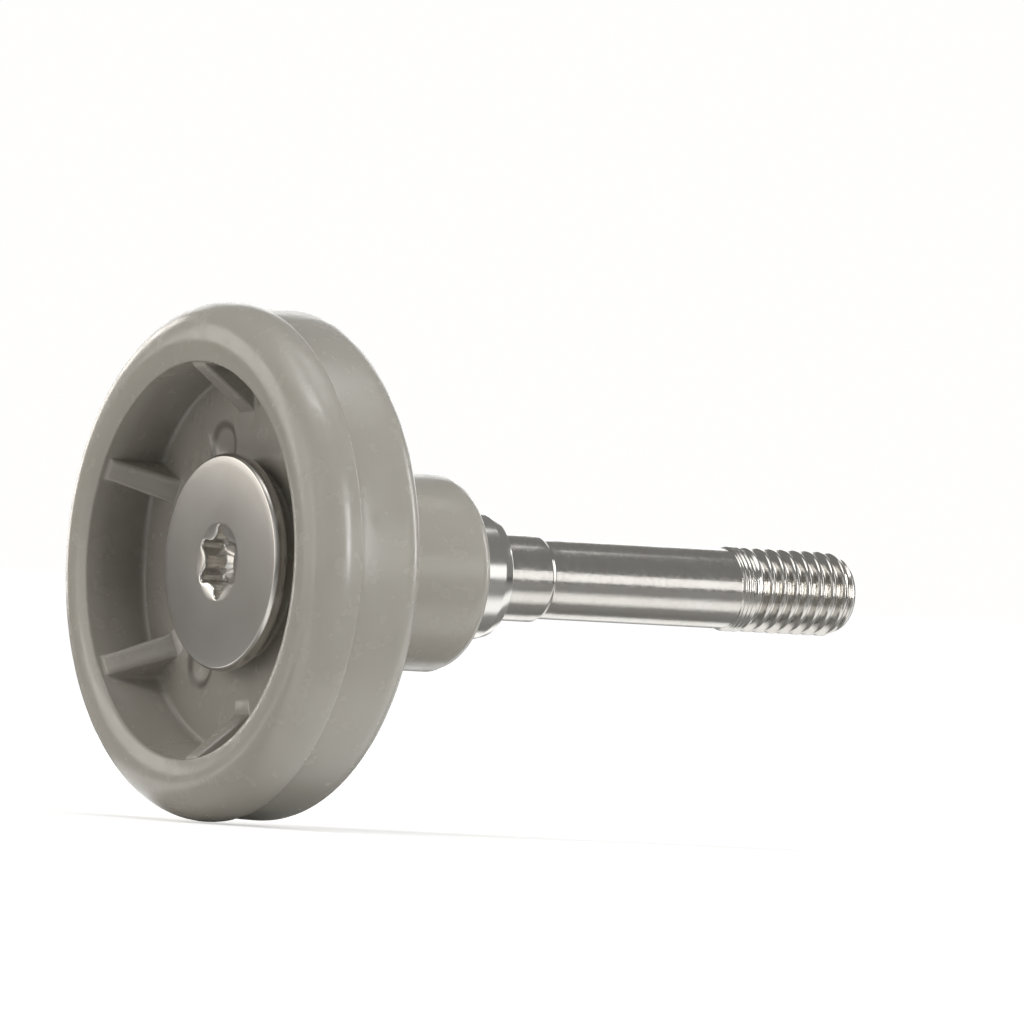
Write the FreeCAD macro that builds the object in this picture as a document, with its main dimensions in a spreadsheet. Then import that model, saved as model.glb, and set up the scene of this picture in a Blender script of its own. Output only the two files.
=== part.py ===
import FreeCAD, Part
import math
import os
import Sketcher

# Rail roller: a plastic wheel that spins on a steel sleeve, held by a disc-headed bolt with an M6 stud.
# Millimetres. +Y runs along the spin axis, from the wheel's open front to the end of the stud. +Z is up.
# The origin is on that axis, in the plane where the sleeve's rear end seats on the bracket.

SIZES = [
    # The wheel's rim and tread
    ("bead_radius", 17.75, "largest radius of the front bead"),
    ("bead_round", 2.77, "radius of the front bead's arc"),
    ("rim_wall", 4.15, "thickness of the rim at the lip of the front recess"),
    ("crease_setback", 3.3, "front edge of the crease behind the wheel's front"),
    ("crease_width", 0.25, "width of the crease's front slope"),
    ("crease_depth", 0.28, "depth of the crease below the crown of the rear flange"),
    ("flange_step", 0.25, "how much smaller in radius the rear flange is than the front bead"),
    ("flange_round", 2.0, "radius of the flange bead's rear arc"),
    ("wheel_width", 8.84, "front of the bead to the back of the flange"),
    # The wheel's recesses and web
    ("recess_depth", 4.77, "floor of the front recess behind the wheel's front"),
    ("recess_draft", 0.4, "how much narrower the front recess is at its floor"),
    ("recess_corner", 0.45, "fillet between the recess wall and its floor"),
    ("lip_edge", 0.15, "edge round of the recess lip"),
    ("web_wall", 2.3, "thickness of the web"),
    ("rear_rim_wall", 3.3, "thickness of the rim around the rear recess"),
    ("rear_draft", 0.15, "how much narrower the rear recess is at the web"),
    # The wheel's hub
    ("thrust_setback", 4.12, "thrust face behind the wheel's front"),
    ("thrust_wall", 2.02, "width of the raised thrust ring under the bolt's head"),
    ("boss_wall", 2.3, "thickness of the rear boss's wall"),
    ("hub_length", 16.85, "thrust face to the rear end of the boss"),
    ("boss_face", 0.88, "width of the flat ring at the boss's end, inside its round nose"),
    ("boss_step", 0.12, "small step in radius in front of that nose"),
    ("boss_foot", 0.8, "fillet between the boss and the web"),
    ("bore_bevel", 0.3, "bevel at both ends of the bore"),
    # The gussets in the front recess
    ("rib_count", 6, "number of gussets"),
    ("rib_phase", 34.0, "angle of the first gusset from +X towards +Z, in degrees"),
    ("rib_set_in", 0.4, "top of a gusset behind the recess lip"),
    ("rib_top_length", 0.25, "radial length of a gusset's top"),
    ("rib_foot_length", 3.1, "radial length of a gusset's foot on the floor"),
    ("rib_top_width", 1.6, "width of a gusset's top"),
    ("rib_foot_width", 1.95, "width of a gusset's foot"),
    # The ejector pins' marks, in every second bay between the gussets
    ("pin_radius", 1.55, "radius of a pin mark"),
    ("pin_depth", 0.2, "depth of a pin mark"),
    ("pin_reach", 0.33, "a mark's middle, as a share of the way from the thrust ring to the recess wall"),
    ("pin_turn", 0.333, "a mark's middle, as a share of the way from one gusset to the next"),
    # The sleeve
    ("sleeve_radius", 4.4, "outside radius of the sleeve"),
    ("sleeve_length", 20.0, "length of the sleeve"),
    ("sleeve_bevel", 0.18, "radial size of the bevel at the sleeve's ends"),
    ("sleeve_bevel_length", 0.7, "length of that bevel"),
    # The bolt
    ("head_radius", 7.5, "radius of the disc head"),
    ("head_height", 1.2, "thickness of the disc head"),
    ("head_edge", 0.22, "edge round of the disc head"),
    ("body_radius", 3.0, "radius of the bolt's full-diameter section"),
    ("pilot_length", 4.05, "length of that section behind the seat"),
    ("pilot_bevel", 0.25, "length of the bevel from that section to the shank"),
    ("shank_radius", 2.76, "radius of the reduced shank"),
    ("stud_length", 29.15, "seat to the end of the stud"),
    ("thread_radius", 2.95, "outside radius of the M6 thread"),
    ("thread_length", 8.7, "length of the threaded end with its bevels"),
    ("thread_bevel", 0.45, "radial size of the bevel at the stud's end"),
    ("thread_bevel_length", 0.75, "length of that bevel"),
    ("run_out", 0.35, "length of the cone from the shank up to the thread"),
    # The six-lobe drive recess
    ("drive_across", 5.0, "lobe tip to lobe tip"),
    ("drive_waist", 3.6, "across the flanks between the lobes"),
    ("drive_lobe", 0.42, "radius of a lobe's tip"),
    ("drive_depth", 2.2, "depth of the recess"),
    ("drive_lead", 0.3, "depth of the round countersink over the recess"),
    # Clearances
    ("sleeve_play", 0.08, "radial running clearance of the wheel on the sleeve"),
    ("bolt_play", 0.1, "radial clearance of the bolt in the sleeve"),
    ("head_play", 0.3, "gap between the bolt's head and the wheel's thrust face"),
]

LOBES = 6
EMBED = "0.3"

doc = FreeCAD.newDocument("rail_roller")
sheet = doc.addObject("Spreadsheet::Sheet", "sizes")
for row, (alias, value, meaning) in enumerate(SIZES, start=1):
    sheet.set(f"A{row}", meaning)
    sheet.set(f"B{row}", str(value))
    sheet.setAlias(f"B{row}", alias)
doc.recompute()


def worth(formula):
    """The number that a formula of named sizes gives."""
    result = sheet.evalExpression(formula)
    return float(getattr(result, "Value", result))


def new_body(name, shift, turn=None):
    """An empty sub-part, shifted along Y and turned about Y by formulas of the named sizes."""
    body = doc.addObject("PartDesign::Body", name)
    body.Label = name
    body.Placement = FreeCAD.Placement(FreeCAD.Vector(0, 0, 0), FreeCAD.Rotation(FreeCAD.Vector(0, 1, 0), 1))
    body.setExpression(".Placement.Base.y", shift)
    body.setExpression(".Placement.Rotation.Angle", turn or "0")
    return body


def origin_part(body, role):
    """One of the body's own origin planes or axes."""
    return next(part for part in body.Origin.OriginFeatures if part.Role == role)


def new_sketch(body, name, plane, distance=None):
    """A sketch on an origin plane, or at a distance along +Y from the XZ plane."""
    sketch = body.newObject("Sketcher::SketchObject", name)
    sketch.AttachmentSupport = [(origin_part(body, plane), "")]
    sketch.MapMode = "FlatFace"
    if distance:
        sketch.setExpression(".AttachmentOffset.Base.z", f"-({distance})")
    return sketch


def add_edge(sketch, start, corner, end):
    """A line, or an arc where the corner has a radius and the side its arc bulges to.

    Gives the edge's number and the positions of its first and last ends on the way round. An arc is
    drawn anticlockwise, so one that bulges to the left of its chord runs from its last end to its first.
    """
    if len(corner) == 2:
        return sketch.addGeometry(Part.LineSegment(start, end), False), 1, 2
    radius = worth(corner[2])
    chord = end - start
    outward = FreeCAD.Vector(-chord.y, chord.x, 0).normalize() * corner[3]
    centre = (start + end) * 0.5 - outward * math.sqrt(radius ** 2 - chord.Length ** 2 / 4)
    first, last = (end, start) if corner[3] > 0 else (start, end)
    begin = math.atan2(first.y - centre.y, first.x - centre.x)
    finish = math.atan2(last.y - centre.y, last.x - centre.x)
    if finish < begin:
        finish += 2 * math.pi
    circle = Part.Circle(centre, FreeCAD.Vector(0, 0, 1), radius)
    edge = sketch.addGeometry(Part.ArcOfCircle(circle, begin, finish), False)
    rule = sketch.addConstraint(Sketcher.Constraint("Radius", edge, radius))
    sketch.setExpression(f"Constraints[{rule}]", corner[2])
    return (edge, 2, 1) if corner[3] > 0 else (edge, 1, 2)


def draw_outline(sketch, corners):
    """A closed outline through corners given as formulas of the named sizes.

    A corner is (x, y), reached by a line from the corner before it, or (x, y, radius, side), reached by
    an arc that bulges to the left of its chord (side 1) or to the right (side -1).
    """
    places = [FreeCAD.Vector(worth(corner[0]), worth(corner[1]), 0) for corner in corners]
    edges = [add_edge(sketch, places[index - 1], corner, places[index]) for index, corner in enumerate(corners)]
    for index, corner in enumerate(corners):
        edge, _, last = edges[index]
        following, first, _ = edges[(index + 1) % len(edges)]
        sketch.addConstraint(Sketcher.Constraint("Coincident", edge, last, following, first))
        for kind, formula in (("DistanceX", corner[0]), ("DistanceY", corner[1])):
            rule = sketch.addConstraint(Sketcher.Constraint(kind, -1, 1, edge, last, worth(formula)))
            sketch.setExpression(f"Constraints[{rule}]", formula)
    doc.recompute()


def draw_circle(sketch, across, up, radius):
    """A circle whose middle and radius are formulas of the named sizes."""
    middle = FreeCAD.Vector(worth(across), worth(up), 0)
    circle = sketch.addGeometry(Part.Circle(middle, FreeCAD.Vector(0, 0, 1), worth(radius)), False)
    for kind, formula in (("DistanceX", across), ("DistanceY", up)):
        rule = sketch.addConstraint(Sketcher.Constraint(kind, -1, 1, circle, 3, worth(formula)))
        sketch.setExpression(f"Constraints[{rule}]", formula)
    rule = sketch.addConstraint(Sketcher.Constraint("Radius", circle, worth(radius)))
    sketch.setExpression(f"Constraints[{rule}]", radius)
    doc.recompute()


def turn_outline(body, name, corners, kind="Revolution"):
    """Turns an outline of (radius, distance along Y) corners about the body's Y axis."""
    sketch = new_sketch(body, f"{name}_outline", "XY_Plane")
    draw_outline(sketch, corners)
    turned = body.newObject(f"PartDesign::{kind}", name)
    turned.Profile = sketch
    turned.ReferenceAxis = (sketch, ["V_Axis"])
    turned.Angle = 360
    doc.recompute()
    return turned


def is_ring(edge, radius, height):
    """Whether an edge is a full circle about the Y axis, with a radius and a distance along Y."""
    curve = edge.Curve
    if not isinstance(curve, Part.Circle):
        return False
    centre = curve.Center
    off_axis = abs(centre.x) + abs(centre.z)
    return max(off_axis, abs(curve.Radius - radius), abs(centre.y - height)) < 0.001


def dress_rings(body, base, name, kind, amount, rings):
    """Rounds (Fillet) or bevels (Chamfer) the ring edges at (radius, distance along Y) formulas."""
    wanted = [(worth(radius), worth(height)) for radius, height in rings]
    local = base.Shape.copy()
    local.Placement = FreeCAD.Placement()
    chosen = []
    for number, edge in enumerate(local.Edges, start=1):
        if any(is_ring(edge, radius, height) for radius, height in wanted):
            chosen.append(f"Edge{number}")
    assert len(chosen) == len(rings), f"{name}: {len(chosen)} ring edges found for {len(rings)}"
    feature = body.newObject(f"PartDesign::{kind}", name)
    feature.Base = (base, chosen)
    feature.setExpression("Radius" if kind == "Fillet" else "Size", amount)
    doc.recompute()
    return feature


def check_cut(feature, before):
    """Makes sure that a cut has taken material away."""
    assert feature.Shape.Volume < before - 0.01, f"{feature.Name} cuts nothing"


# The roller wheel, one moulding. Distances run back from its frontmost line.

BORE = "sizes.sleeve_radius + sizes.sleeve_play"
LIP_RADIUS = "sizes.bead_radius - sizes.rim_wall"
BEAD_CENTRE = "(sizes.bead_radius - sizes.bead_round)"
LIP_DROP = f"pow({BEAD_CENTRE} - ({LIP_RADIUS}); 2)"
LIP = f"sizes.bead_round - sqrt(pow(sizes.bead_round; 2) - {LIP_DROP})"
CREASE_DROP = "pow(sizes.crease_setback - sizes.bead_round; 2)"
CREASE_TOP = f"{BEAD_CENTRE} + sqrt(pow(sizes.bead_round; 2) - {CREASE_DROP})"
FLANGE_RADIUS = "(sizes.bead_radius - sizes.flange_step)"
CREASE_FLOOR = f"{FLANGE_RADIUS} - sizes.crease_depth"
CREASE_END = "sizes.crease_setback + sizes.crease_width"
FLANGE_CREST = "sizes.wheel_width - sizes.flange_round"
CROWN_RUN = f"({FLANGE_CREST} - ({CREASE_END}))"
CROWN_ROUND = f"(pow(sizes.crease_depth; 2) + pow({CROWN_RUN}; 2)) / (2 * sizes.crease_depth)"
FLOOR_RADIUS = f"{LIP_RADIUS} - sizes.recess_draft"
WEB_BACK = "sizes.recess_depth + sizes.web_wall"
REAR_LIP_RADIUS = f"{FLANGE_RADIUS} - sizes.rear_rim_wall"
THRUST_RADIUS = f"({BORE} + sizes.thrust_wall)"
BOSS_RADIUS = f"{BORE} + sizes.boss_wall"
BOSS_END = "sizes.thrust_setback + sizes.hub_length"
NOSE_ROUND = "(sizes.boss_wall - sizes.boss_step - sizes.boss_face)"
NOSE_START = f"{BOSS_END} - {NOSE_ROUND}"
NOSE_RADIUS = f"{BOSS_RADIUS} - sizes.boss_step"
WHEEL_FRONT = "sizes.head_play - sizes.sleeve_length - sizes.thrust_setback"

wheel = new_body("roller_wheel", WHEEL_FRONT, "-sizes.rib_phase")
wheel_turned = turn_outline(wheel, "wheel_turned", [
    (BORE, "sizes.thrust_setback"),
    (THRUST_RADIUS, "sizes.thrust_setback"),
    (THRUST_RADIUS, "sizes.recess_depth"),
    (FLOOR_RADIUS, "sizes.recess_depth"),
    (LIP_RADIUS, LIP),
    ("sizes.bead_radius", "sizes.bead_round", "sizes.bead_round", -1),
    (CREASE_TOP, "sizes.crease_setback", "sizes.bead_round", -1),
    (CREASE_FLOOR, CREASE_END),
    (FLANGE_RADIUS, FLANGE_CREST, CROWN_ROUND, -1),
    (f"{FLANGE_RADIUS} - sizes.flange_round", "sizes.wheel_width", "sizes.flange_round", -1),
    (REAR_LIP_RADIUS, "sizes.wheel_width"),
    (f"{REAR_LIP_RADIUS} - sizes.rear_draft", WEB_BACK),
    (BOSS_RADIUS, WEB_BACK),
    (BOSS_RADIUS, NOSE_START),
    (NOSE_RADIUS, NOSE_START),
    (f"{BORE} + sizes.boss_face", BOSS_END, NOSE_ROUND, -1),
    (BORE, BOSS_END),
])
recess_corner = dress_rings(wheel, wheel_turned, "recess_corner", "Fillet", "sizes.recess_corner",
                            [(FLOOR_RADIUS, "sizes.recess_depth")])
lip_edge = dress_rings(wheel, recess_corner, "lip_edge", "Fillet", "sizes.lip_edge", [(LIP_RADIUS, LIP)])
boss_foot = dress_rings(wheel, lip_edge, "boss_foot", "Fillet", "sizes.boss_foot",
                        [(BOSS_RADIUS, WEB_BACK)])
bore_bevels = dress_rings(wheel, boss_foot, "bore_bevels", "Chamfer", "sizes.bore_bevel",
                          [(BORE, "sizes.thrust_setback"), (BORE, BOSS_END)])


def rib_section(name, distance, reach, width):
    """The rectangle that a gusset has at a distance behind the wheel's front."""
    sketch = new_sketch(wheel, name, "XZ_Plane", distance)
    inner = f"{FLOOR_RADIUS} - ({reach})"
    outer = f"{LIP_RADIUS} + {EMBED}"
    draw_outline(sketch, [
        (inner, f"-{width} / 2"),
        (outer, f"-{width} / 2"),
        (outer, f"{width} / 2"),
        (inner, f"{width} / 2"),
    ])
    return sketch


rib_top = rib_section("rib_top", f"{LIP} + sizes.rib_set_in", "sizes.rib_top_length - sizes.recess_draft",
                      "sizes.rib_top_width")
rib_foot = rib_section("rib_foot", f"sizes.recess_depth + {EMBED}", "sizes.rib_foot_length",
                       "sizes.rib_foot_width")
rib = wheel.newObject("PartDesign::AdditiveLoft", "rib")
rib.Profile = rib_top
rib.Sections = [rib_foot]
rib.Ruled = True
doc.recompute()
ribs = wheel.newObject("PartDesign::PolarPattern", "ribs")
ribs.Originals = [rib]
ribs.Axis = (origin_part(wheel, "Y_Axis"), [""])
ribs.Angle = 360
ribs.setExpression("Occurrences", "sizes.rib_count")
wheel.Tip = ribs
doc.recompute()

# The ejector pins leave a round mark in every second bay between two gussets
PIN_PLACE = f"({THRUST_RADIUS} + sizes.pin_reach * ({FLOOR_RADIUS} - {THRUST_RADIUS}))"
PIN_ANGLE = "((1 + sizes.pin_turn) * 360 / sizes.rib_count)"
pin_outline = new_sketch(wheel, "pin_outline", "XZ_Plane", "sizes.recess_depth")
draw_circle(pin_outline, f"{PIN_PLACE} * cos({PIN_ANGLE})", f"{PIN_PLACE} * sin({PIN_ANGLE})",
            "sizes.pin_radius")
pin_mark = wheel.newObject("PartDesign::Pocket", "pin_mark")
pin_mark.Profile = pin_outline
pin_mark.Type = "Length"
pin_mark.setExpression("Length", "sizes.pin_depth")
doc.recompute()
check_cut(pin_mark, ribs.Shape.Volume)
pin_marks = wheel.newObject("PartDesign::PolarPattern", "pin_marks")
pin_marks.Originals = [pin_mark]
pin_marks.Axis = (origin_part(wheel, "Y_Axis"), [""])
pin_marks.Mode = "Spacing"
pin_marks.setExpression("Offset", "2 * 360 / sizes.rib_count")
pin_marks.setExpression("Occurrences", "floor(sizes.rib_count / 2)")
wheel.Tip = pin_marks
doc.recompute()
check_cut(pin_marks, pin_mark.Shape.Volume)


# The bearing sleeve, turned from steel. Distances run back from its front end.

SLEEVE_BORE = "sizes.body_radius + sizes.bolt_play"
SLEEVE_END_RADIUS = "sizes.sleeve_radius - sizes.sleeve_bevel"

sleeve = new_body("bearing_sleeve", "-sizes.sleeve_length")
turn_outline(sleeve, "sleeve_turned", [
    (SLEEVE_BORE, "0"),
    (SLEEVE_END_RADIUS, "0"),
    ("sizes.sleeve_radius", "sizes.sleeve_bevel_length"),
    ("sizes.sleeve_radius", "sizes.sleeve_length - sizes.sleeve_bevel_length"),
    (SLEEVE_END_RADIUS, "sizes.sleeve_length"),
    (SLEEVE_BORE, "sizes.sleeve_length"),
])


# The bolt, one cold-formed piece. Distances run back from the face of its head.

SEAT = "sizes.head_height + sizes.sleeve_length"
PILOT_END = f"{SEAT} + sizes.pilot_length"
STUD_END = f"{SEAT} + sizes.stud_length"
THREAD_START = f"{STUD_END} - sizes.thread_length"

bolt = new_body("shoulder_bolt", "-sizes.sleeve_length - sizes.head_height")
bolt_turned = turn_outline(bolt, "bolt_turned", [
    ("0", "0"),
    ("sizes.head_radius", "0"),
    ("sizes.head_radius", "sizes.head_height"),
    ("sizes.body_radius", "sizes.head_height"),
    ("sizes.body_radius", PILOT_END),
    ("sizes.shank_radius", f"{PILOT_END} + sizes.pilot_bevel"),
    ("sizes.shank_radius", THREAD_START),
    ("sizes.thread_radius", f"{THREAD_START} + sizes.run_out"),
    ("sizes.thread_radius", f"{STUD_END} - sizes.thread_bevel_length"),
    ("sizes.thread_radius - sizes.thread_bevel", STUD_END),
    ("0", STUD_END),
])
head_edges = dress_rings(bolt, bolt_turned, "head_edges", "Fillet", "sizes.head_edge",
                         [("sizes.head_radius", "0"), ("sizes.head_radius", "sizes.head_height")])

# A lobe's tip is an arc about a point on its own line. The flank between two lobes is an arc about a
# point outside the recess, and its radius makes the two arcs tangent where they meet.
TIP_CENTRE = "(sizes.drive_across / 2 - sizes.drive_lobe)"
HALF_WAIST = "sizes.drive_waist / 2"
HALF_STEP = f"(180 / {LOBES})"
FLANK_ABOVE = (f"(pow(sizes.drive_lobe; 2) - pow({TIP_CENTRE}; 2) - pow({HALF_WAIST}; 2)"
               f" + 2 * cos({HALF_STEP}) * {TIP_CENTRE} * {HALF_WAIST})")
FLANK_BELOW = f"(2 * ({HALF_WAIST} - cos({HALF_STEP}) * {TIP_CENTRE} - sizes.drive_lobe))"
FLANK = f"({FLANK_ABOVE} / {FLANK_BELOW})"
FLANK_CENTRE = f"({HALF_WAIST} + {FLANK})"
SHARE = f"(sizes.drive_lobe / (sizes.drive_lobe + {FLANK}))"
MEET_ALONG = f"({TIP_CENTRE} + {SHARE} * ({FLANK_CENTRE} * cos({HALF_STEP}) - {TIP_CENTRE}))"
MEET_ACROSS = f"({SHARE} * {FLANK_CENTRE} * sin({HALF_STEP}))"

drive_corners = []
for lobe in range(LOBES):
    lobe_angle = f"({90 + lobe * 360 / LOBES})"
    for side in (-1, 1):
        across = f"({side} * {MEET_ACROSS})"
        x = f"{MEET_ALONG} * cos({lobe_angle}) - {across} * sin({lobe_angle})"
        y = f"{MEET_ALONG} * sin({lobe_angle}) + {across} * cos({lobe_angle})"
        arc = (FLANK, 1) if side < 0 else ("sizes.drive_lobe", -1)
        drive_corners.append((x, y, *arc))

drive_outline = new_sketch(bolt, "drive_outline", "XZ_Plane")
draw_outline(drive_outline, drive_corners)
drive = bolt.newObject("PartDesign::Pocket", "drive")
drive.Profile = drive_outline
drive.Type = "Length"
drive.setExpression("Length", "sizes.drive_depth")
doc.recompute()
check_cut(drive, head_edges.Shape.Volume)

drive_lead = turn_outline(bolt, "drive_lead", [
    ("0", "0"),
    ("sizes.drive_across / 2", "0"),
    (HALF_WAIST, "sizes.drive_lead"),
    ("0", "sizes.drive_lead"),
], kind="Groove")
check_cut(drive_lead, drive.Shape.Volume)


# Every feature must have worked before anything is written

doc.recompute()
for item in doc.Objects:
    assert not {"Invalid", "Error"} & set(item.State), f"{item.Name} failed: {item.State}"

os.makedirs("parts", exist_ok=True)
for body in (wheel, sleeve, bolt):
    shape = body.Shape
    assert not shape.isNull() and shape.isValid() and len(shape.Solids) == 1, f"{body.Label} is no solid"
    shape.exportStep(f"parts/{body.Label}.step")
    box = shape.BoundBox
    print(f"{body.Label}: {shape.Volume:.1f} mm3, Y {box.YMin:.2f} to {box.YMax:.2f}, {len(shape.Faces)} faces")
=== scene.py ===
# %% [markdown]
# # A rail roller in its studio
# A grey plastic wheel runs on a steel sleeve, and a disc-headed bolt with an M6 stud holds the sleeve to
# a bracket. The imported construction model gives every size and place. This lesson dresses it: it gives
# the wheel its rounded gussets and pin marks, the bolt its rolled thread, and each surface its finish.

# %% Load the construction model
import math

import bmesh
import bpy
import numpy as np
from mathutils import Matrix, Vector


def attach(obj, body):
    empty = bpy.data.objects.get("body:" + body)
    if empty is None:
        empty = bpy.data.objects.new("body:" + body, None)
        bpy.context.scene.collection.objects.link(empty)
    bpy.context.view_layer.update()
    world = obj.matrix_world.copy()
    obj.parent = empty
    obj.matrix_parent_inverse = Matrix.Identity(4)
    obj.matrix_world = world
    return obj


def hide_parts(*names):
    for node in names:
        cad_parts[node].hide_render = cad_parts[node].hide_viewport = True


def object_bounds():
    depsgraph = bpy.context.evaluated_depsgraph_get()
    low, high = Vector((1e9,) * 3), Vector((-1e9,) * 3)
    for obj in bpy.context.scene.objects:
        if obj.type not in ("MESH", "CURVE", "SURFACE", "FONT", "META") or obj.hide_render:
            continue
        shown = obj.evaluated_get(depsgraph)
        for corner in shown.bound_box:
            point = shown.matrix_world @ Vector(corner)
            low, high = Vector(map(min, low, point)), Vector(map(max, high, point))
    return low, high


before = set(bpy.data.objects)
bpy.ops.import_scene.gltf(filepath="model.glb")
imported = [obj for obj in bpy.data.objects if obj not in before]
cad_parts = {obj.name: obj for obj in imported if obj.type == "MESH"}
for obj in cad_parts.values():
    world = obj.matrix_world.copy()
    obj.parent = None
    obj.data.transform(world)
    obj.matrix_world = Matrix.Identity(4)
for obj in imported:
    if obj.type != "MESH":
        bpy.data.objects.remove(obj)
cad_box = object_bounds()
print("nodes:", sorted(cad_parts))
print("size in mm:", [round(1000 * (high - low), 2) for low, high in zip(*cad_box)])

# %% [markdown]
# ## Outlines with soft corners
# Everything here is round about one axis, so each piece starts as an outline in a plane: how far from the
# axis, and how far along it. A real edge is never quite sharp, and light catches its small round, so a
# corner may carry the distance at which it starts to turn. The outline could be a curve with bevels, but
# plain points keep every station known, which the gussets and the drive recess need later.

# %% Outline helpers
MM = 0.001


def arc(centre, radius, start, stop, steps):
    """Points of an arc about (radius, distance); 0 degrees points away from the axis, 90 along +Y."""
    turns = np.radians(np.linspace(start, stop, steps + 1))
    return [(centre[0] + radius * math.cos(turn), centre[1] + radius * math.sin(turn)) for turn in turns]


def walk(points, index, step, reach):
    """The point at a distance along the outline from one of its points, and the index it lies before."""
    here = np.array(points[index][:2], float)
    while True:
        ahead = np.array(points[index + step][:2], float)
        gap = np.linalg.norm(ahead - here)
        if gap >= reach:
            return here + (ahead - here) * (reach / gap), index + step
        reach -= gap
        here = ahead
        index += step


def soften(points, steps=4):
    """The outline with each corner (radius, distance, reach) turned into a small curve."""
    made = []
    skip_to = 0
    for index, point in enumerate(points):
        if index < skip_to:
            continue
        if len(point) < 3:
            made.append(tuple(point))
            continue
        before, _ = walk(points, index, -1, point[2])
        after, skip_to = walk(points, index, 1, point[2])
        corner = np.array(point[:2], float)
        while len(made) > 1 and np.dot(np.subtract(made[-1], before), corner - before) > 0:
            made.pop()
        for share in np.linspace(0, 1, steps + 1):
            curve = before * (1 - share) ** 2 + corner * 2 * share * (1 - share) + after * share ** 2
            made.append(tuple(curve))
    return made


def divide(points, longest):
    """The outline with long runs cut into steps no longer than a length that may depend on the place."""
    made = [points[0]]
    for near, far in zip(points, points[1:]):
        run = math.dist(near, far)
        count = max(1, math.ceil(run / longest(near, far)))
        for step in range(1, count + 1):
            made.append(tuple(np.array(near) + (np.array(far) - np.array(near)) * step / count))
    return made


print("outline helpers ready")

# %% [markdown]
# ## Turning an outline into a mesh
# A lathe turns one outline about the axis. Here each station is a whole ring of points, so a ring may also
# leave the circle, as the six-lobe recess does. Rings are joined by four-sided faces, doubled points are
# merged where rings shrink to a point or meet, and the normals are set outwards at the end.

# %% Ring helpers


def ring(radius, distance, angles):
    """One ring of points in metres; radius and distance may be numbers or one value for each angle."""
    radius = np.broadcast_to(radius, angles.shape)
    distance = np.broadcast_to(distance, angles.shape)
    return np.stack([radius * np.cos(angles), distance, radius * np.sin(angles)], axis=1) * MM


def mesh_of_rings(name, rings, closed_round=True, closed_along=False):
    """A mesh of quads through rings of equal length; clean merges the points that fall together."""
    rows, columns = len(rings), len(rings[0])
    mesh = bpy.data.meshes.new(name)
    faces = []
    for row in range(rows if closed_along else rows - 1):
        for column in range(columns if closed_round else columns - 1):
            below, beside = (row + 1) % rows, (column + 1) % columns
            faces.append((row * columns + column, row * columns + beside,
                          below * columns + beside, below * columns + column))
    mesh.from_pydata(np.concatenate(rings).tolist(), [], faces)
    return mesh


def clean(mesh, merge=0.002 * MM):
    """Merges doubles, points every face outwards and shades it smooth."""
    work = bmesh.new()
    work.from_mesh(mesh)
    bmesh.ops.remove_doubles(work, verts=work.verts, dist=merge)
    bmesh.ops.dissolve_degenerate(work, edges=work.edges, dist=merge / 4)
    bmesh.ops.recalc_face_normals(work, faces=work.faces)
    open_edges = sum(1 for edge in work.edges if not edge.is_manifold)
    work.to_mesh(mesh)
    work.free()
    mesh.shade_smooth()
    return open_edges


def new_piece(mesh, name):
    """An object for a finished mesh, at the origin of the frame."""
    piece = bpy.data.objects.new(name, mesh)
    bpy.context.scene.collection.objects.link(piece)
    return piece


print("ring helpers ready")

# %% [markdown]
# ## The wheel's outline
# The wheel is one moulding. Its tread is a fat round bead in front, a fine crease where the two halves of
# the tool met, and a crowned flange behind. Inside the bead lies the front recess with the web as its
# floor, and a long boss runs out behind to carry the sleeve. The outline goes once round that section.

# %% The wheel's sizes, in millimetres
WHEEL_FRONT = -23.82
BORE = 4.48
BEAD = (14.98, 2.77)
BEAD_ROUND = 2.77
LIP = (13.6, 0.37)
CREASE_TOP, CREASE_FLOOR = (17.70, 3.3), (17.22, 3.55)
FLANGE = (17.5, 6.84)
FLANGE_ROUND = 2.0
WHEEL_BACK = 8.84
FLOOR, FLOOR_RADIUS = 4.77, 13.2
WEB_BACK = 7.07
THRUST, THRUST_RADIUS = 4.12, 6.5
BOSS_RADIUS, BOSS_END = 6.78, 20.97
NOSE_START, NOSE_RADIUS, NOSE_ROUND = 19.67, 6.66, 1.3

# The gussets: where the top leaves the recess wall, where it turns, and where it reaches the floor
RIB_START, RIB_TURN, RIB_END = (13.57, 0.77), (13.35, 0.77), (10.33, 4.77)
RIB_HALF_TOP, RIB_HALF_FOOT = 0.8, 0.975
RIB_ROUND, RIB_FOOT = 0.32, 0.34
RIB_PHASE = 94.0

crown_rise = FLANGE[0] - CREASE_FLOOR[0]
crown_run = FLANGE[1] - CREASE_FLOOR[1]
CROWN_ROUND = (crown_rise ** 2 + crown_run ** 2) / (2 * crown_rise)
crown_turn = math.degrees(math.asin(crown_run / CROWN_ROUND))

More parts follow.
